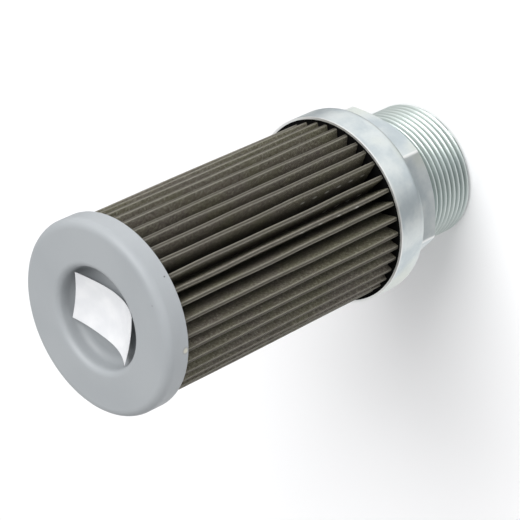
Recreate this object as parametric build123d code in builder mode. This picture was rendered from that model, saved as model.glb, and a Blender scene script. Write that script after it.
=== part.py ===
from build123d import *
from math import acos, cos, degrees, radians, sin, tan
import os

os.makedirs("parts", exist_ok=True)

# Threaded nipple
thread_diameter = 47.8
thread_length = 22.3
thread_end_chamfer = 1.3
thread_pitch = 2.309
thread_depth = 1.3
thread_flank_angle = 27.5
relief_depth = 1.5
relief_width = 2.0
nipple_wall = 4.9
bore_chamfer = 1.0
shoulder_width = 2.6
hexagon_height = 11.5
hexagon_turn = 39.75
hexagon_chamfer_angle = 40.0
spigot_wall = 2.0
spigot_clearance = 0.1
rolled_rim_overhang = 1.8
rolled_rim_height = 1.4

# Caps
cap_diameter = 66.3
cap_wall = 0.8
ring_cap_height = 12.9
ring_cap_edge_radius = 3.0
end_cap_height = 8.4
end_cap_edge_radius = 2.8
exposed_length = 99.2

# Potting resin, whose level stays a little below each cap's rim
resin_gap = 0.5

# Core tube
core_step = 1.5
core_wall = 0.8
core_end_clearance = 0.5
hole_diameter = 3.4
hole_columns = 12
hole_row_pitch = 17.2
hole_margin = 9.0

# Recess in the end cap
recess_gap = 1.1
recess_depth = 6.6
recess_taper = 12.0
recess_lip_radius = 2.2
recess_floor_radius = 3.0

# Pleated mesh
pleat_count = 40
pleat_gap = 1.05
mesh_thickness = 0.8
mesh_clearance = 0.4
first_pleat_angle = -32.4
# The sway of the tips: how many waves go round, how many degrees each reaches, and where it starts
pleat_sway = [(2, 0.64, -160.8), (3, 0.65, 121.7), (11, 0.49, -176.3)]

# Label
label_gap = 0.9
label_corner_angle = 33.0
label_thickness = 0.2
label_flat = 4.0
label_near_lift = 3.3
label_far_lift = 4.7
label_turn = 41.7

# Heights that the pieces share, from the threaded end up
hexagon_top = thread_length + hexagon_height
ring_floor = hexagon_top + cap_wall
ring_rim = hexagon_top + ring_cap_height
skirt_edge = ring_rim + exposed_length
overall_length = skirt_edge + end_cap_height
cap_underside = overall_length - cap_wall
rolled_rim_top = ring_floor + rolled_rim_height
mesh_bottom = ring_rim - resin_gap
mesh_top = skirt_edge + resin_gap
core_top = cap_underside - core_end_clearance
recess_floor = overall_length - recess_depth

# Radii that the pieces share
thread_radius = thread_diameter / 2
bore_radius = thread_radius - nipple_wall
hexagon_apothem = thread_radius + shoulder_width
spigot_radius = bore_radius + spigot_wall
rolled_rim_radius = spigot_radius + rolled_rim_overhang
cap_radius = cap_diameter / 2
cup_radius = cap_radius - cap_wall
core_radius = bore_radius + core_step
core_inner_radius = core_radius - core_wall
pleat_radius = cup_radius - pleat_gap
recess_edge_radius = core_inner_radius - recess_gap - cap_wall / cos(radians(recess_taper))
recess_floor_edge = recess_edge_radius - recess_depth * tan(radians(recess_taper))


def thread_grooves():
    """The outline of the thread as ring grooves: two flanks and a flat root each, with a flat crest between."""
    root_radius = thread_radius - thread_depth
    flank = thread_depth * tan(radians(thread_flank_angle))
    half_root = thread_pitch / 4 - flank / 2
    full_thread = thread_length - relief_width - relief_depth - thread_end_chamfer
    grooves = []
    for groove in range(int(full_thread / thread_pitch)):
        middle = thread_end_chamfer + thread_pitch * (groove + 0.5)
        grooves.append((thread_radius, middle - half_root - flank))
        grooves.append((root_radius, middle - half_root))
        grooves.append((root_radius, middle + half_root))
        grooves.append((thread_radius, middle + half_root + flank))
    return grooves


def build_threaded_nipple():
    relief_radius = thread_radius - relief_depth
    hidden_step = hexagon_top - hexagon_height / 2
    with BuildPart() as threaded_nipple:
        with BuildSketch(Plane.XY.offset(thread_length)):
            RegularPolygon(hexagon_apothem, 6, major_radius=False, rotation=hexagon_turn)
        extrude(amount=hexagon_height)
        # The cone that breaks the hexagon's corners on the thread side
        reach = 2 * hexagon_apothem
        rise = (reach - hexagon_apothem) * tan(radians(hexagon_chamfer_angle))
        with BuildSketch(Plane.XZ):
            with BuildLine():
                Polyline(
                    (hexagon_apothem, thread_length),
                    (reach, thread_length),
                    (reach, thread_length + rise),
                    close=True,
                )
            make_face()
        revolve(axis=Axis.Z, mode=Mode.SUBTRACT)
        # Thread, relief groove, spigot and rolled rim
        with BuildSketch(Plane.XZ):
            with BuildLine():
                Polyline(
                    (0, 0),
                    (thread_radius - thread_end_chamfer, 0),
                    (thread_radius, thread_end_chamfer),
                    *thread_grooves(),
                    (thread_radius, thread_length - relief_width - relief_depth),
                    (relief_radius, thread_length - relief_width),
                    (relief_radius, hidden_step),
                    (spigot_radius, hidden_step),
                    (spigot_radius, ring_floor),
                    (rolled_rim_radius, ring_floor),
                    (rolled_rim_radius, rolled_rim_top),
                    (0, rolled_rim_top),
                    close=True,
                )
            make_face()
        revolve(axis=Axis.Z)
        with BuildSketch():
            Circle(bore_radius)
        extrude(amount=rolled_rim_top, mode=Mode.SUBTRACT)
        bore_mouth = threaded_nipple.edges().filter_by(GeomType.CIRCLE).group_by(Axis.Z)[0]
        chamfer(bore_mouth.sort_by(SortBy.RADIUS)[0], bore_chamfer)
    threaded_nipple.part.label = "threaded_nipple"
    export_step(threaded_nipple.part, "parts/threaded_nipple.step")


def build_ring_cap():
    with BuildPart() as ring_cap:
        with BuildSketch(Plane.XZ):
            with BuildLine():
                FilletPolyline(
                    (spigot_radius + spigot_clearance, hexagon_top),
                    (cap_radius, hexagon_top),
                    (cap_radius, ring_rim),
                    radius=[ring_cap_edge_radius],
                )
                offset(amount=cap_wall, side=Side.LEFT)
            make_face()
        revolve(axis=Axis.Z)
    ring_cap.part.label = "ring_cap"
    export_step(ring_cap.part, "parts/ring_cap.step")


def build_base_resin():
    corner = ring_cap_edge_radius - cap_wall
    with BuildPart() as base_resin:
        with BuildSketch(Plane.XZ):
            with BuildLine():
                Polyline(
                    (cup_radius, mesh_bottom),
                    (core_radius, mesh_bottom),
                    (core_radius, rolled_rim_top),
                    (rolled_rim_radius, rolled_rim_top),
                    (rolled_rim_radius, ring_floor),
                    (cup_radius - corner, ring_floor),
                    (cup_radius, ring_floor + corner),
                    close=True,
                )
            make_face()
        revolve(axis=Axis.Z)
    base_resin.part.label = "base_resin"
    export_step(base_resin.part, "parts/base_resin.step")


def build_core_tube():
    core_length = core_top - rolled_rim_top
    rows = int((core_length - 2 * hole_margin) / hole_row_pitch) + 1
    first_row = rolled_rim_top + (core_length - (rows - 1) * hole_row_pitch) / 2
    with BuildPart() as core_tube:
        with BuildSketch(Plane.XY.offset(rolled_rim_top)):
            Circle(core_radius)
            Circle(core_inner_radius, mode=Mode.SUBTRACT)
        extrude(amount=core_length)
        # Every second row of holes is turned by half a column
        for row in range(rows):
            half_column = 180 / hole_columns
            with Locations(Plane.XY.offset(first_row + row * hole_row_pitch)):
                with PolarLocations(core_radius, hole_columns, start_angle=half_column * (row % 2)):
                    with Locations(Rotation(0, 90, 0)):
                        Hole(hole_diameter / 2, depth=2 * core_wall)
    core_tube.part.label = "core_tube"
    export_step(core_tube.part, "parts/core_tube.step")


def pleat_angle(pleat):
    """The angle of one tip in degrees: even steps with a slow sway, as the folds crowd and spread."""
    step = 360 / pleat_count * pleat
    sway = sum(reach * sin(radians(waves * step + start)) for waves, reach, start in pleat_sway)
    return first_pleat_angle - step - sway


def valley_angle(pleat):
    """The angle of the inner fold that follows a tip. These sit evenly round the core."""
    return first_pleat_angle - 360 / pleat_count * (pleat + 0.5)


def polar(radius, angle):
    return Vector(radius, 0).rotate(Axis.Z, angle)


def fold_normal(tip, valley):
    """The unit vector square to the sheet that runs from a tip centre to a valley centre."""
    run = valley - tip
    lean = degrees(acos(mesh_thickness / run.length))
    side = -1 if tip.cross(valley).Z > 0 else 1
    return run.normalized().rotate(Axis.Z, side * lean)


def build_pleated_mesh():
    tip_radius = pleat_radius - mesh_thickness
    valley_radius = core_radius + mesh_clearance + mesh_thickness
    tips = [polar(tip_radius, pleat_angle(k)) for k in range(pleat_count)]
    valleys = [polar(valley_radius, valley_angle(k)) for k in range(pleat_count)]
    crests = [polar(pleat_radius, pleat_angle(k)) for k in range(pleat_count)]
    roots = [polar(valley_radius - mesh_thickness, valley_angle(k)) for k in range(pleat_count)]
    with BuildPart() as pleated_mesh:
        with BuildSketch(Plane.XY.offset(mesh_bottom)):
            # The outer skin: a round crest on each tip and a sharp crease in each valley
            with BuildLine():
                for k in range(pleat_count):
                    before = tips[k] + mesh_thickness * fold_normal(tips[k], valleys[k - 1])
                    after = tips[k] + mesh_thickness * fold_normal(tips[k], valleys[k])
                    Line(valleys[k - 1], before)
                    ThreePointArc(before, crests[k], after)
                    Line(after, valleys[k])
            make_face()
            # The inner skin: a sharp crease in each tip and a round root on each inner fold
            with BuildLine():
                for k in range(pleat_count):
                    after_tip = (k + 1) % pleat_count
                    before = valleys[k] - mesh_thickness * fold_normal(tips[k], valleys[k])
                    after = valleys[k] - mesh_thickness * fold_normal(tips[after_tip], valleys[k])
                    Line(tips[k], before)
                    ThreePointArc(before, roots[k], after)
                    Line(after, tips[after_tip])
            make_face(mode=Mode.SUBTRACT)
        extrude(amount=mesh_top - mesh_bottom)
    pleated_mesh.part.label = "pleated_mesh"
    export_step(pleated_mesh.part, "parts/pleated_mesh.step")


def build_end_resin():
    corner = end_cap_edge_radius - cap_wall
    with BuildPart() as end_resin:
        with BuildSketch(Plane.XZ):
            with BuildLine():
                Polyline(
                    (core_radius, mesh_top),
                    (cup_radius, mesh_top),
                    (cup_radius, cap_underside - corner),
                    (cup_radius - corner, cap_underside),
                    (core_radius, cap_underside),
                    close=True,
                )
            make_face()
        revolve(axis=Axis.Z)
    end_resin.part.label = "end_resin"
    export_step(end_resin.part, "parts/end_resin.step")


def build_end_cap():
    with BuildPart() as end_cap:
        with BuildSketch(Plane.XZ):
            with BuildLine():
                FilletPolyline(
                    (0, recess_floor),
                    (recess_floor_edge, recess_floor),
                    (recess_edge_radius, overall_length),
                    (cap_radius, overall_length),
                    (cap_radius, skirt_edge),
                    radius=[recess_floor_radius, recess_lip_radius, end_cap_edge_radius],
                )
                offset(amount=cap_wall, side=Side.RIGHT)
            make_face()
        revolve(axis=Axis.Z)
    end_cap.part.label = "end_cap"
    export_step(end_cap.part, "parts/end_cap.step")


def build_label():
    # The corners stop short of the recess wall, and both ends curl up from a flat middle
    corner_reach = recess_edge_radius - label_gap
    half_length = corner_reach * cos(radians(label_corner_angle))
    half_width = corner_reach * sin(radians(label_corner_angle))
    near_end = (half_length, recess_floor + label_near_lift)
    far_end = (-half_length, recess_floor + label_far_lift)
    with BuildPart() as label:
        with BuildSketch(Plane.XZ.rotated((0, 0, label_turn))):
            with BuildLine():
                flat = Line((-label_flat / 2, recess_floor), (label_flat / 2, recess_floor))
                TangentArc(flat @ 1, near_end, tangent=(1, 0))
                TangentArc(flat @ 0, far_end, tangent=(-1, 0))
                offset(amount=label_thickness, side=Side.LEFT)
            make_face()
        extrude(amount=half_width, both=True)
    label.part.label = "label"
    export_step(label.part, "parts/label.step")


build_threaded_nipple()
build_ring_cap()
build_base_resin()
build_core_tube()
build_pleated_mesh()
build_end_resin()
build_end_cap()
build_label()
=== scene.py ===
"""A hydraulic filter element: a pleated wire-mesh cartridge between a dished end cap and a ring cap, on a
hexagon nipple with an outside thread."""

import math

import bpy
import numpy as np
from mathutils import Matrix, Vector


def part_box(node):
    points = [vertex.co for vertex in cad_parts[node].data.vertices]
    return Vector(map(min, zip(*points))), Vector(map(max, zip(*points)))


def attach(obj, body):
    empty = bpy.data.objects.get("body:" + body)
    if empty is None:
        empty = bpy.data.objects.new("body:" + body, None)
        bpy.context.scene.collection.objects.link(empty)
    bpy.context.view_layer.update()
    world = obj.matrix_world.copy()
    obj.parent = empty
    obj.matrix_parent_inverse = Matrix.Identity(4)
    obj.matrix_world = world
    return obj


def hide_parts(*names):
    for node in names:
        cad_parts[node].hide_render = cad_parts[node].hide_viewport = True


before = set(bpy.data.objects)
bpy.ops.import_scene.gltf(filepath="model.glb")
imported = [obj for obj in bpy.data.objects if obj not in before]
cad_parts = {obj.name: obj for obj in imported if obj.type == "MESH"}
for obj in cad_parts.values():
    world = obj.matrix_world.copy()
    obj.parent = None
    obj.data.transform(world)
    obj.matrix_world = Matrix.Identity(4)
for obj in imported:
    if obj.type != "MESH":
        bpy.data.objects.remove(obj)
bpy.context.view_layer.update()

TAU = 2 * math.pi
MM = 0.001

# Places read from the CAD nodes, in metres
ring_low, ring_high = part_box("ring_cap")
mesh_low, mesh_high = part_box("pleated_mesh")
core_low, core_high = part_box("core_tube")
hexagon_top = ring_low[2]
ring_rim = ring_high[2]
core_bottom = core_low[2]
core_radius = core_high[0]
mesh_bottom = mesh_low[2]
mesh_top = mesh_high[2]
cap_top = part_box("end_cap")[1][2]
recess_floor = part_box("label")[0][2]

# Threaded nipple, in metres
thread_radius = 23.9 * MM
thread_pitch = 2.309 * MM
thread_depth = 1.479 * MM
thread_length = 22.3 * MM
thread_chamfer = 1.3 * MM
relief_radius = 22.4 * MM
relief_width = 2.0 * MM
bore_radius = 19.0 * MM
bore_chamfer = 1.0 * MM
hexagon_apothem = 26.5 * MM
hexagon_turn = math.radians(39.75)
hexagon_chamfer = math.radians(40.0)
hexagon_sharpness = 90
shoulder_lip = 0.15 * MM
spigot_radius = 21.0 * MM
rolled_rim_radius = 22.8 * MM
cap_wall = 0.8 * MM

# Where the painted highlight on the hexagon's corners starts and is full, as a share of the flats' distance
corner_highlight = (1.138, 1.145)

# Pleated sheet, in metres and degrees
pleat_count = 40
pleat_radius = 31.3 * MM
sheet_thickness = 0.45 * MM
crease_radius = 0.06 * MM
crest_half_flat = 0.20 * MM
tip_swell = 0.10 * MM
mesh_clearance = 0.4 * MM
first_pleat_angle = -32.4
wire_pitch = 0.30 * MM

# The waves that place the tips: how many round the pack, how far and where they start, both in degrees
pleat_waves = ((2, 0.64, -160.8), (3, 0.65, 121.7), (11, 0.49, -176.3))

# Rows of light spots: degrees round, distance from the axis, first height, spacing and number
core_light = (
    (-78.8, 27.2 * MM, 50.1 * MM, 5.75 * MM, 6),
    (-89.9, 23.2 * MM, 52.0 * MM, 5.60 * MM, 4),
    (-96.4, 31.0 * MM, 62.3 * MM, 8.60 * MM, 4),
)
light_spot_radius = 0.45 * MM

# Label, in metres: the rises are how far its ends curl up from the recess floor, and the powers how steeply
label_length = 27.9 * MM
label_width = 18.6 * MM
label_thickness = 0.2 * MM
label_turn = math.radians(41.7)
label_offset = -0.3 * MM
label_bow = 0.85 * MM
label_far_start = 0.07
label_far_rise = 4.7 * MM
label_far_power = 2.6
label_near_rise = 2.2 * MM
label_near_twist = 0.85 * MM
label_near_power = 2.05
label_near_power_twist = 0.55

# Where painted shade darkens the end cap's recess: inward between two radii, and down between two depths, in
# metres
recess_shade_radii = (20.0 * MM, 18.5 * MM)
recess_shade_depths = (0.8 * MM, 3.0 * MM)

# Marks in the end cap's paint: place and radius in metres. Two are dark specks and the last is a pale chip
dark_specks = (((0.0028, -0.0330, 0.1476), 0.00034), ((-0.0037, -0.0299, 0.1543), 0.00026))
pale_chip = ((-0.0205, -0.0260, 0.1470), 0.0011)


# Grids and meshes

def grid_faces(rows, columns, close_rows, close_columns):
    """Four-sided faces between neighbouring grid points, wrapping round where a direction is closed."""
    row = np.arange(rows if close_rows else rows - 1)
    column = np.arange(columns if close_columns else columns - 1)
    r, c = np.meshgrid(row, column, indexing="ij")
    below = (r + 1) % rows
    right = (c + 1) % columns
    corners = (r * columns + c, r * columns + right, below * columns + right, below * columns + c)
    return np.stack(corners, axis=-1).reshape(-1, 4)


def mesh_piece(name, points, faces, sharp_degrees=40.0, uv=None, marks=None):
    """One object at the origin from points in metres and four-sided faces, smooth up to an edge angle. It
    may carry a UV for each face corner and named marks, one value for each point."""
    mesh = bpy.data.meshes.new(name)
    mesh.vertices.add(len(points))
    mesh.vertices.foreach_set("co", np.ascontiguousarray(points, dtype=np.float32).ravel())
    mesh.loops.add(faces.size)
    mesh.loops.foreach_set("vertex_index", faces.astype(np.int32).ravel())
    mesh.polygons.add(len(faces))
    mesh.polygons.foreach_set("loop_start", np.arange(0, faces.size, 4, dtype=np.int32))
    mesh.update(calc_edges=True)
    mesh.validate()
    if uv is not None:
        layer = mesh.uv_layers.new(name="sheet")
        layer.data.foreach_set("uv", np.ascontiguousarray(uv, dtype=np.float32).ravel())
    for mark, values in (marks or {}).items():
        layer = mesh.attributes.new(mark, "FLOAT", "POINT")
        layer.data.foreach_set("value", np.ascontiguousarray(values, dtype=np.float32).ravel())
    mesh.polygons.foreach_set("use_smooth", np.ones(len(mesh.polygons), dtype=bool))
    mesh.set_sharp_from_angle(angle=math.radians(sharp_degrees))
    piece = bpy.data.objects.new(name, mesh)
    bpy.context.scene.collection.objects.link(piece)
    return piece


def grid_piece(name, points, close_rows=False, close_columns=False, sharp_degrees=40.0):
    """A grid of points [rows, columns, 3] as one object."""
    rows, columns = points.shape[:2]
    faces = grid_faces(rows, columns, close_rows, close_columns)
    return mesh_piece(name, points.reshape(-1, 3), faces, sharp_degrees)


def dress(piece, finish, slot_name, *nodes):
    """Gives a new piece its finish and its body, and hides the CAD nodes that it stands for. Its slot name
    is not used.
    """
    piece.data.materials.append(finish)
    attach(piece, "root")
    if nodes:
        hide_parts(*nodes)


def repaint(node_name, finish):
    """Puts one finish on every material slot of a CAD node."""
    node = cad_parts[node_name]
    for slot in node.material_slots:
        slot.material = finish
    if not node.material_slots:
        node.data.materials.append(finish)


# Shader maths

class Value:
    """One number of a shader, so that Python's operators add its Math nodes."""

    def __init__(self, finish, socket):
        self.finish = finish
        self.socket = socket

    def _with(self, operation, *values):
        return self.finish.add("ShaderNodeMath", {"operation": operation}, dict(enumerate(values))).value()

    def __add__(self, other):
        return self._with("ADD", self, other)

    __radd__ = __add__

    def __sub__(self, other):
        return self._with("SUBTRACT", self, other)

    def __rsub__(self, other):
        return self._with("SUBTRACT", other, self)

    def __mul__(self, other):
        return self._with("MULTIPLY", self, other)

    def __truediv__(self, other):
        return self._with("DIVIDE", self, other)

    def __pow__(self, other):
        return self._with("POWER", self, other)

    def __abs__(self):
        return self._with("ABSOLUTE", self)

    def __gt__(self, other):
        return self._with("GREATER_THAN", self, other)

    def __lt__(self, other):
        return self._with("LESS_THAN", self, other)

    def sin(self):
        return self._with("SINE", self)

    def cos(self):
        return self._with("COSINE", self)

    def floor(self):
        return self._with("FLOOR", self)

    def fraction(self):
        return self._with("FRACT", self)

    def root(self):
        return self._with("SQRT", self)

    def largest(self, other):
        return self._with("MAXIMUM", self, other)

    def between(self, low, high):
        """Runs smoothly from 0 at low to 1 at high."""
        settings = {"interpolation_type": "SMOOTHSTEP"}
        sockets = {"Value": self, "From Min": low, "From Max": high, "To Min": 0.0, "To Max": 1.0}
        return self.finish.add("ShaderNodeMapRange", settings, sockets).value("Result")


class Placed:
    """A node just added, whose outputs become values or plain sockets."""

    def __init__(self, finish, node):
        self.finish = finish
        self.node = node

    def value(self, name=0):
        return Value(self.finish, self.node.outputs[name])

    def out(self, name=0):
        return self.node.outputs[name]


class Finish:
    """The nodes of a new material of that name, or of a world. Their sockets are set or linked by name."""

    def __init__(self, owner):
        self.owner = owner if isinstance(owner, bpy.types.World) else bpy.data.materials.new(owner)
        self.owner.use_nodes = True
        self.tree = self.owner.node_tree
        self.tree.nodes.clear()

    def add(self, kind, settings=None, sockets=None):
        node = self.tree.nodes.new(kind)
        for key, value in (settings or {}).items():
            if key == "stops":
                self._stops(node.color_ramp, value)
            else:
                setattr(node, key, value)
        for key, value in (sockets or {}).items():
            self._plug(node.inputs[key], value)
        return Placed(self, node)

    def _stops(self, ramp, stops):
        while len(ramp.elements) < len(stops):
            ramp.elements.new(1.0)
        for element, (place, colour) in zip(ramp.elements, stops):
            element.position = place
            element.color = (*colour, 1.0)

    def _plug(self, socket, value):
        if isinstance(value, Value):
            self.tree.links.new(value.socket, socket)
        elif isinstance(value, bpy.types.NodeSocket):
            self.tree.links.new(value, socket)
        else:
            socket.default_value = value

    def place(self):
        """The Object coordinates as a vector socket."""
        return self.add("ShaderNodeTexCoord").out("Object")

    def apart(self, vector):
        """The three values of a vector socket."""
        node = self.add("ShaderNodeSeparateXYZ", None, {0: vector})
        return node.value("X"), node.value("Y"), node.value("Z")

    def vector(self, x, y, z):
        return self.add("ShaderNodeCombineXYZ", None, {"X": x, "Y": y, "Z": z}).out()

    def noise(self, vector, scale, detail=2.0, roughness=0.5):
        sockets = {"Vector": vector, "Scale": scale, "Detail": detail, "Roughness": roughness}
        return self.add("ShaderNodeTexNoise", None, sockets).value("Fac")

    def mix(self, factor, first, second):
        """A colour between two colours or colour sockets."""
        first = (*first, 1.0) if isinstance(first, tuple) else first
        second = (*second, 1.0) if isinstance(second, tuple) else second
        settings = {"data_type": "RGBA"}
        return self.add("ShaderNodeMix", settings, {0: factor, 6: first, 7: second}).out(2)

    def bump(self, height, distance, strength=1.0):
        sockets = {"Height": height, "Distance": distance, "Strength": strength}
        return self.add("ShaderNodeBump", None, sockets).out()

    def surface(self, sockets):
        shader = self.add("ShaderNodeBsdfPrincipled", None, sockets)
        self.add("ShaderNodeOutputMaterial", None, {"Surface": shader.out()})
        return self.owner


# Finishes

def plated_steel(name, grooved=False):
    """Bright zinc plate on turned steel: faint turning lines round the axis under cloudy blue and
    yellow-green blooms, and a painted highlight along the ring cap's rim. On the nipple a painted highlight
    lies on the hexagon's corners and the thread's crests, the thread's flanks are duller and greener, and
    painted shade darkens its grooves and every surface nearer the axis, the bore too."""
    finish = Finish(name)
    where = finish.place()
    x, y, z = finish.apart(where)
    radius = (x * x + y * y).root()
    turning = finish.noise(finish.vector(radius, 0.0, z), 5200.0, 2.0, 0.6)
    cloud = finish.noise(where, 70.0, 4.0, 0.6)
    tint = finish.noise(where, 32.0, 2.0, 0.5)
    speck = finish.noise(where, 900.0, 3.0, 0.6)
    cool = finish.mix(cloud.between(0.35, 0.65), (0.60, 0.67, 0.70), (0.80, 0.85, 0.85))
    bloom = finish.mix(tint.between(0.50, 0.62) * 0.6, cool, (0.76, 0.80, 0.73))
    colour = finish.mix(speck.between(0.60, 0.80) * 0.25, bloom, (0.46, 0.51, 0.54))
    # Painted highlight: a near-white band just below the ring cap's rim
    edge = (z - ring_rim).between(-0.9 * MM, -0.2 * MM)
    colour = finish.mix(edge * 0.9, colour, (0.97, 0.98, 0.97))
    if grooved:
        # Painted highlight: a near-white line along the hexagon's corners
        corner = radius.between(hexagon_apothem * corner_highlight[0], hexagon_apothem * corner_highlight[1])
        colour = finish.mix(corner * 0.8, colour, (0.97, 0.98, 0.97))
        on_thread = radius < thread_radius + 0.2 * MM
        dulled = finish.mix(on_thread * 0.80, colour, (0.46, 0.52, 0.50))
        # Painted highlight: the thread's crests are made brighter
        crest = radius.between(thread_radius - 0.45 * MM, thread_radius - 0.05 * MM)
        highlighted = finish.mix(crest * on_thread * (0.5 + cloud * 0.5), dulled, (0.70, 0.77, 0.75))
        # Painted shade: dark in the thread's grooves and on every surface nearer the axis, the bore too
        groove_shade = radius.between(thread_radius - 0.5 * thread_depth, thread_radius - thread_depth)
        colour = finish.mix(groove_shade * on_thread * (0.20 + cloud * 0.5), highlighted, (0.12, 0.15, 0.15))
    return finish.surface({
        "Base Color": colour,
        "Metallic": 0.82,
        "Roughness": 0.25 + cloud * 0.14 + speck * 0.06,
        "Normal": finish.bump(turning * 0.5 + speck * 0.5, 0.00004, 0.5),
    })


def painted_steel():
    """Satin blue-grey paint with faint orange peel, painted shade down in the recess, one chip
    at the skirt's edge and a few dark specks."""
    finish = Finish("satin_grey_paint")
    where = finish.place()
    x, y, z = finish.apart(where)
    peel = finish.noise(where, 620.0, 2.0, 0.5)
    cloud = finish.noise(where, 38.0, 3.0, 0.5)
    paint = finish.mix(cloud.between(0.3, 0.7), (0.315, 0.334, 0.350), (0.341, 0.360, 0.375))

    def mark(place, size):
        """Rises to 1 within an uneven patch round a place."""
        gap = ((x - place[0]) ** 2 + (y - place[1]) ** 2 + (z - place[2]) ** 2).root()
        return 1.0 - (gap + peel * size * 0.8).between(size * 0.9, size * 1.5)

    chip = mark(*pale_chip)
    outlined = finish.mix(mark(pale_chip[0], pale_chip[1] * 1.35) * 0.75, paint, (0.20, 0.205, 0.205))
    chipped = finish.mix(chip, outlined, (0.50, 0.485, 0.42))
    dark = mark(*dark_specks[0]).largest(mark(*dark_specks[1]) * 0.6)
    specked = finish.mix(dark, chipped, (0.05, 0.05, 0.048))
    radius = (x * x + y * y).root()
    # Painted shade: the paint darkens inward from the recess's rim and down from the face
    down = (z - cap_top).between(-recess_shade_depths[0], -recess_shade_depths[1])
    inward = radius.between(recess_shade_radii[0], recess_shade_radii[1])
    colour = finish.mix(down * inward * 0.5, specked, (0.215, 0.229, 0.240))
    return finish.surface({
        "Base Color": colour,
        "Specular IOR Level": 0.42,
        "Roughness": 0.40 + cloud * 0.08,
        "Normal": finish.bump(peel, 0.00004, 0.35),
    })


def wire_mesh():
    """Woven wire seen from a step away: warp and weft pass over and under each other, olive brown with oil.
    Painted shade darkens it deep in the folds and along the middle of each crest, and a painted highlight
    runs in streaks along the fold corners at the tips. A few light spots lie where light comes through the
    core's holes."""
    finish = Finish("woven_wire_mesh")
    where = finish.place()
    x, y, z = finish.apart(where)
    round_sheet, up_sheet, _ = finish.apart(finish.add("ShaderNodeUVMap", {"uv_map": "sheet"}).out())
    u = round_sheet / wire_pitch
    v = up_sheet / wire_pitch
    warp = abs((u * math.pi).sin()) * ((v + u.floor()) * math.pi).cos().between(-1.0, 1.0)
    weft = abs((v * math.pi).sin()) * ((u + v.floor() + 1.0) * math.pi).cos().between(-1.0, 1.0)
    wire = warp.largest(weft)
    stain = finish.noise(where, 55.0, 3.0, 0.6)
    grit = finish.noise(where, 1300.0, 3.0, 0.8)
    streak = finish.noise(finish.vector(x, y, z * 0.12), 420.0, 2.0, 0.6)
    fold = finish.add("ShaderNodeAttribute", {"attribute_name": "fold"}).value("Fac")
    crest = finish.add("ShaderNodeAttribute", {"attribute_name": "crest"}).value("Fac")
    oiled = finish.mix(stain.between(0.35, 0.65), (0.166, 0.158, 0.106), (0.168, 0.150, 0.124))
    dull = finish.mix(grit.between(0.50, 0.30) * 0.75, oiled, (0.055, 0.050, 0.038))
    flank = finish.mix(grit.between(0.50, 0.72) * 0.75, dull, (0.42, 0.40, 0.33))
    # Painted shade: darker along the middle of each crest
    crest_shaded = finish.mix(crest * 0.85, flank, (0.070, 0.064, 0.052))
    # Painted highlight: paler streaks along the fold corners at the tips
    highlighted = finish.mix(fold * (0.15 + streak * 0.75), crest_shaded, (0.37, 0.355, 0.305))
    wired = finish.mix((1.0 - wire.between(0.05, 0.55)) * 0.5, highlighted, (0.020, 0.018, 0.014))
    radius = (x * x + y * y).root()
    # Painted shade: near black deep in the folds, towards the core
    fold_shade = 1.0 - radius.between(core_radius + 1.0 * MM, pleat_radius - 1.5 * MM)
    colour = finish.mix(fold_shade * 0.8, wired, (0.022, 0.020, 0.015))
    for degrees, reach, first, pitch, count in core_light:
        row_x = reach * math.cos(math.radians(degrees))
        row_y = reach * math.sin(math.radians(degrees))
        across = (x - row_x) ** 2 + (y - row_y) ** 2
        turns = (z - first) / pitch
        along = ((turns + 0.5).fraction() - 0.5) * pitch * 0.5
        gap = (across + along * along).root() + grit * 0.35 * MM
        in_row = (turns > -0.5) * (turns < count - 0.5)
        spot = (1.0 - gap.between(light_spot_radius, light_spot_radius * 2)) * in_row
        colour = finish.mix(spot * 0.8, colour, (0.60, 0.61, 0.56))
    return finish.surface({
        "Base Color": colour,
        "Metallic": 0.12,
        "Specular IOR Level": 0.22,
        "Roughness": 0.52 + stain * 0.12,
        "Normal": finish.bump(wire + grit * 0.8, 0.00010, 0.7),
    })


def core_steel():
    """Plain punched steel, a little stained by oil."""
    finish = Finish("punched_core_steel")
    where = finish.place()
    x, y, z = finish.apart(where)
    stain = finish.noise(where, 70.0, 4.0, 0.6)
    grain = finish.noise(finish.vector(x, y, z * 0.08), 2600.0, 2.0, 0.6)
    colour = finish.mix(stain.between(0.3, 0.7), (0.36, 0.35, 0.33), (0.52, 0.51, 0.49))
    return finish.surface({
        "Base Color": colour,
        "Metallic": 1.0,
        "Roughness": 0.38 + stain * 0.2,
        "Normal": finish.bump(grain, 0.00003, 0.5),
    })


def potting_resin():
    """Poured black resin with a dull, slightly uneven skin."""
    finish = Finish("black_potting_resin")
    where = finish.place()
    swell = finish.noise(where, 160.0, 2.0, 0.5)
    dust = finish.noise(where, 1200.0, 3.0, 0.7)
    colour = finish.mix(dust.between(0.60, 0.90), (0.0035, 0.0035, 0.0035), (0.012, 0.012, 0.011))
    return finish.surface({
        "Base Color": colour,
        "Specular IOR Level": 0.04,
        "Roughness": 0.60 + dust * 0.2,
        "Normal": finish.bump(swell * 0.8 + dust * 0.2, 0.0003, 0.6),
    })


def label_paper():
    """Smooth white paper with a faint fibre."""
    finish = Finish("white_label_paper")
    where = finish.place()
    fibre = finish.noise(where, 2400.0, 3.0, 0.7)
    cloud = finish.noise(where, 160.0, 2.0, 0.5)
    colour = finish.mix(cloud.between(0.3, 0.7), (0.70, 0.71, 0.73), (0.77, 0.775, 0.79))
    return finish.surface({
        "Base Color": colour,
        "Roughness": 0.48 + fibre * 0.12,
        "Normal": finish.bump(fibre, 0.00002, 0.4),
    })


# Pieces

def hexagon_radius(angle):
    """A hexagon's outline with softened corners: the flats' distance over the power sum of the six flats'
    cosines. The sum's root is taken at the end."""
    flats = hexagon_turn + math.pi / 6 + np.arange(6) * TAU / 6
    facing = np.clip(np.cos(angle[..., None] - flats), 0.0, None)
    return hexagon_apothem * np.sum(facing**hexagon_sharpness, axis=-1) ** (-1.0 / hexagon_sharpness)


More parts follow.
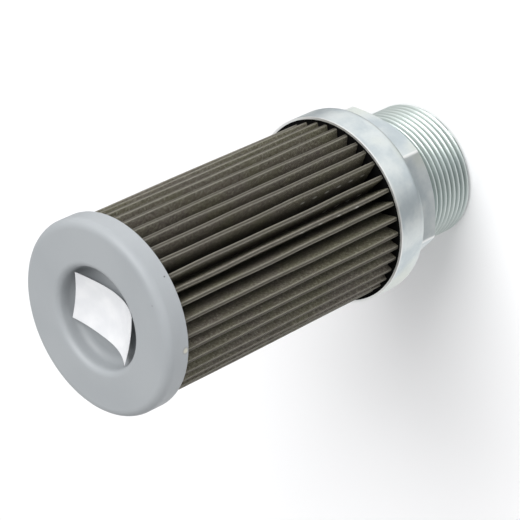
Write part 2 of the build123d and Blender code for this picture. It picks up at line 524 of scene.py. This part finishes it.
def threaded_nipple():
    """A closed profile carried round the axis: each row is (radius, height) at every angle. The angles crowd
    towards the hexagon's corners. The hexagon and its corner chamfer change with the angle. The thread is a
    cosine of height less turn, cut back at its ends."""
    columns = 432
    even = np.arange(columns) * TAU / columns
    crowding = 0.72
    angle = even - crowding * np.sin(6 * (even - hexagon_turn)) / 6
    outline = hexagon_radius(angle)
    one = np.ones(columns)
    drop = math.tan(hexagon_chamfer)
    ring_floor = hexagon_top + cap_wall
    soften = 0.25 * MM
    rows = []

    def row(radius, height):
        rows.append((radius * one, height * one))

    row(bore_radius, core_bottom)
    row(rolled_rim_radius - soften, core_bottom)
    row(rolled_rim_radius, core_bottom - soften)
    row(rolled_rim_radius, ring_floor)
    row(spigot_radius, ring_floor)
    row(spigot_radius, hexagon_top)
    row(outline - soften, hexagon_top)
    row(outline, hexagon_top - soften)
    break_height = thread_length + (outline - hexagon_apothem) * drop
    row(outline, break_height + soften * 0.5)
    row(outline - soften * 0.5, break_height - soften * 0.3)
    for chamfer_share in (0.6, 0.3):
        radius = hexagon_apothem + (outline - soften * 0.5 - hexagon_apothem) * chamfer_share
        row(radius, thread_length + (radius - hexagon_apothem) * drop)
    row(hexagon_apothem - shoulder_lip, thread_length)
    row(relief_radius, thread_length)
    row(relief_radius, thread_length - relief_width)
    thread_rows = 190
    for height in np.linspace(thread_length - relief_width, 0.0, thread_rows):
        turn = height / thread_pitch - angle / TAU
        cut = thread_radius - thread_depth * (0.5 - 0.5 * np.cos(TAU * turn))
        relief_limit = relief_radius + max(thread_length - relief_width - height, 0.0)
        chamfer_limit = thread_radius - thread_chamfer + height
        rows.append((np.minimum(cut, min(relief_limit, chamfer_limit)), height * one))
    row(bore_radius + bore_chamfer, 0.0)
    row(bore_radius, bore_chamfer)
    radius = np.array([r for r, _ in rows])
    height = np.array([h for _, h in rows])
    points = np.stack((radius * np.cos(angle), radius * np.sin(angle), height), axis=-1)
    piece = grid_piece("threaded_nipple_turned", points[::-1], True, True, 32.0)
    dress(piece, plated_steel("bright_zinc_thread", True), "plated_steel", "threaded_nipple")


def pleated_sheet():
    """One sheet folded round the core. Its middle line turns two small corners at each tip, either side of
    a narrow flat, and one at each inner fold, joined by straight walls that cross between the corners'
    circles. The two skins lie half a thickness either side. Tips and crests wander a little with height."""
    rows = 40
    height = np.linspace(mesh_bottom, mesh_top, rows)[:, None]
    rise = (height - mesh_bottom) / (mesh_top - mesh_bottom)
    held = np.sin(math.pi * rise) ** 0.5
    place = pleat_count - 1 - np.arange(pleat_count)[None, :]
    sway = 0.0
    for waves, reach, start in pleat_waves:
        sway = sway + reach * np.sin(TAU * waves * place / pleat_count + math.radians(start))
    tip_degrees = first_pleat_angle - 360 / pleat_count * place - sway
    slow_wander = 0.22 * held * np.sin(TAU * (1.3 * rise + 0.37 * place))
    quick_wander = 0.10 * np.sin(TAU * (3.1 * rise + 0.61 * place))
    tip_angle = np.radians(tip_degrees + (slow_wander + quick_wander))
    valley_angle = np.radians(first_pleat_angle - 360 / pleat_count * (place - 0.5)) + 0 * rise
    fold_radius = crease_radius + sheet_thickness / 2
    swell = tip_swell * np.sin(TAU * (0.9 * rise + 0.29 * place))
    tip_reach = pleat_radius - crease_radius - sheet_thickness - tip_swell + swell
    valley_reach = core_radius + mesh_clearance + sheet_thickness + crease_radius

    def polar(reach, angle):
        return np.stack((reach * np.cos(angle), reach * np.sin(angle)), axis=-1)

    outward = polar(1.0, tip_angle)
    sideways = polar(crest_half_flat, tip_angle + math.pi / 2)
    tip = polar(tip_reach, tip_angle)
    first_corner = tip - sideways
    second_corner = tip + sideways
    valley = polar(valley_reach, valley_angle)

    def crossing(start, end, side):
        """The unit normal, on that side, of the line that crosses between equal circles at two points."""
        run = end - start
        length = np.linalg.norm(run, axis=-1, keepdims=True)
        lean = side * np.arccos(2 * fold_radius / length)
        run = run / length
        x = run[..., :1] * np.cos(lean) - run[..., 1:] * np.sin(lean)
        y = run[..., :1] * np.sin(lean) + run[..., 1:] * np.cos(lean)
        return np.concatenate((x, y), axis=-1)

    normal_in = crossing(first_corner, np.roll(valley, 1, axis=1), 1.0)
    normal_out = crossing(second_corner, valley, -1.0)
    following = np.roll(normal_in, -1, axis=1)

    def swing(centre, first, second, reach, share):
        """Points round a centre from one normal to another, the short way."""
        start = np.arctan2(first[..., 1], first[..., 0])[..., None]
        turn = np.arctan2(second[..., 1], second[..., 0])[..., None] - start
        turn = (turn + math.pi) % TAU - math.pi
        return centre[..., None, :] + polar(reach, start + turn * share)

    corner = np.linspace(0.0, 1.0, 6)
    wall = np.linspace(0.0, 1.0, 5)[1:-1]

    def skin(side):
        """Points of one skin at every height, side +1 outside and -1 inside."""
        out = fold_radius + side * sheet_thickness / 2
        into = fold_radius - side * sheet_thickness / 2
        crest = np.concatenate((
            swing(first_corner, normal_in, outward, out, corner),
            swing(second_corner, outward, normal_out, out, corner),
        ), axis=-2)
        root = swing(valley, -normal_out, -following, into, corner)
        next_crest = np.roll(crest, -1, axis=1)[..., :1, :]
        down = crest[..., -1:, :] + (root[..., :1, :] - crest[..., -1:, :]) * wall[:, None]
        up = root[..., -1:, :] + (next_crest - root[..., -1:, :]) * wall[:, None]
        flat = np.concatenate((crest, down, root, up), axis=-2).reshape(rows, -1, 2)
        level = np.broadcast_to(height[..., None], (*flat.shape[:2], 1))
        return np.concatenate((flat, level), axis=-1)

    outside = skin(1.0)
    inside = skin(-1.0)
    points = np.concatenate((outside, inside[::-1]), axis=0)
    bend = 1.0 - np.abs(2.0 * corner - 1.0)
    rest = np.zeros(len(wall) * 2 + len(corner))
    fold = np.tile(np.concatenate((bend, bend, rest)), pleat_count)
    crest = np.tile(np.concatenate((corner, corner[::-1], rest)), pleat_count)
    marks = {
        "fold": np.broadcast_to(fold, points.shape[:2]),
        "crest": np.broadcast_to(crest, points.shape[:2]),
    }
    faces = grid_faces(points.shape[0], points.shape[1], True, True)
    middle = (outside[0, :, :2] + inside[0, :, :2]) / 2
    step = np.linalg.norm(np.roll(middle, -1, axis=0) - middle, axis=-1)
    along = np.concatenate(([0.0], np.cumsum(step)))
    level = points[:, 0, 2]
    r, c = np.meshgrid(np.arange(points.shape[0]), np.arange(points.shape[1]), indexing="ij")
    below = (r + 1) % points.shape[0]
    u = np.stack((along[c], along[c + 1], along[c + 1], along[c]), axis=-1)
    v = np.stack((level[r], level[r], level[below], level[below]), axis=-1)
    uv = np.stack((u, v), axis=-1).reshape(-1, 2)
    piece = mesh_piece("pleated_mesh_sheet", points.reshape(-1, 3), faces, 60.0, uv, marks)
    dress(piece, wire_mesh(), "wire_mesh", "pleated_mesh")


def paper_label():
    """A rectangle in plan. Its height is a slight bow across the width plus, at each end, a rise that
    steepens as a power of the distance from the middle. One corner of the near end rises more and sooner
    than the other."""
    columns, rows = 81, 45
    s, t = np.meshgrid(np.linspace(-1.0, 1.0, columns), np.linspace(-1.0, 1.0, rows))
    far_share = np.clip((label_far_start - s) / (1.0 + label_far_start), 0.0, None)
    far = label_far_rise * far_share**label_far_power
    near_power = label_near_power + label_near_power_twist * t
    near = (label_near_rise - label_near_twist * t) * np.clip(s, 0.0, None) ** near_power
    lift = recess_floor + label_bow * t**2 + far + near
    along = label_offset + s * label_length / 2
    beside = t * label_width / 2
    x = along * math.cos(label_turn) - beside * math.sin(label_turn)
    y = along * math.sin(label_turn) + beside * math.cos(label_turn)
    top = np.stack((x, y, lift + label_thickness), axis=-1).reshape(-1, 3)
    bottom = np.stack((x, y, lift), axis=-1).reshape(-1, 3)
    top_faces = grid_faces(rows, columns, False, False)
    bottom_faces = top_faces[:, ::-1] + len(top)
    index = np.arange(rows * columns).reshape(rows, columns)
    edge = np.concatenate((index[0, :-1], index[:-1, -1], index[-1, :0:-1], index[:0:-1, 0]))
    onward = np.roll(edge, -1)
    edge_faces = np.stack((edge, edge + len(top), onward + len(top), onward), axis=-1)
    points = np.concatenate((top, bottom))
    faces = np.concatenate((top_faces, bottom_faces, edge_faces))
    piece = mesh_piece("label_paper", points, faces, 40.0)
    dress(piece, label_paper(), "paper", "label")


threaded_nipple()
pleated_sheet()
paper_label()
repaint("ring_cap", plated_steel("bright_zinc_plate"))
repaint("end_cap", painted_steel())
repaint("base_resin", potting_resin())
repaint("end_resin", potting_resin())
repaint("core_tube", core_steel())


# Floor, lights and camera

# The way that the photograph has upward, and the light from each height round it, from 0 below to 1 above
photo_upward = (0.802, -0.598)
world_glow = ((0.0, 0.45), (0.12, 0.95), (0.27, 0.90), (0.42, 0.36), (0.53, 0.25), (0.72, 0.95), (1.0, 1.0))

# The photograph's camera: its lens in millimetres, its place in metres, and its picture's right and up
camera_lens = 183.44
camera_place = Vector((-0.00517, -0.67298, 0.64117))
camera_right = Vector((-0.42976, -0.57632, -0.69510))
camera_up = Vector((0.90294, -0.27430, -0.33084))

# The point that the lights face
part_middle = (0.0, 0.0, 0.08)


def pale_floor():
    """A broad pale floor under the part."""
    reach = 6.0
    near_edge = [(-reach, -reach, 0.0), (reach, -reach, 0.0)]
    far_edge = [(-reach, reach, 0.0), (reach, reach, 0.0)]
    floor = grid_piece("floor", np.array([near_edge, far_edge]))
    finish = Finish("pale_floor")
    cloud = finish.noise(finish.place(), 3.0, 2.0, 0.5)
    colour = finish.mix(cloud, (0.95, 0.95, 0.96), (0.96, 0.96, 0.97))
    floor.data.materials.append(finish.surface({"Base Color": colour, "Roughness": 0.8}))
    floor.visible_glossy = False


def soft_light(name, place, size, power):
    """A square area light that faces the part's middle."""
    light = bpy.data.lights.new(name, "AREA")
    light.shape = "SQUARE"
    light.size = size
    light.energy = power
    lamp = bpy.data.objects.new(name, light)
    lamp.location = place
    lamp.rotation_euler = (Vector(part_middle) - Vector(place)).to_track_quat("-Z", "Y").to_euler()
    bpy.context.scene.collection.objects.link(lamp)


def studio_world(strength):
    """Soft light from all round the lying part: brightest from above, dim level with it, and fairly bright
    from the white floor below."""
    world = bpy.data.worlds.new("studio")
    finish = Finish(world)
    x, y, _ = finish.apart(finish.place())
    lift = (x * photo_upward[0] + y * photo_upward[1] + 1.0) / 2.0
    stops = [(place, (glow, glow, glow)) for place, glow in world_glow]
    glow = finish.add("ShaderNodeValToRGB", {"stops": stops}, {"Fac": lift}).out("Color")
    background = finish.add("ShaderNodeBackground", None, {"Color": glow, "Strength": strength})
    finish.add("ShaderNodeOutputWorld", None, {"Surface": background.out()})
    bpy.context.scene.world = world


def photo_camera():
    """The camera found by fitting the caps' rims: it looks down on the closed cap, rolled so that the
    element's axis runs up to the right."""
    camera = bpy.data.cameras.new("photo_camera")
    camera.sensor_width = 36.0
    camera.lens = camera_lens
    camera.clip_start = 0.01
    camera.clip_end = 20.0
    turn = Matrix((camera_right, camera_up, camera_right.cross(camera_up))).transposed().to_4x4()
    viewer = bpy.data.objects.new("photo_camera", camera)
    viewer.matrix_world = Matrix.Translation(camera_place) @ turn
    bpy.context.scene.collection.objects.link(viewer)
    bpy.context.scene.camera = viewer


pale_floor()
studio_world(0.92)
soft_light("key", (1.32, -1.08, 1.76), 2.0, 54.0)
soft_light("front", (-1.0, -1.30, 0.80), 1.2, 3.0)
bpy.context.scene.view_settings.view_transform = "Standard"
photo_camera()
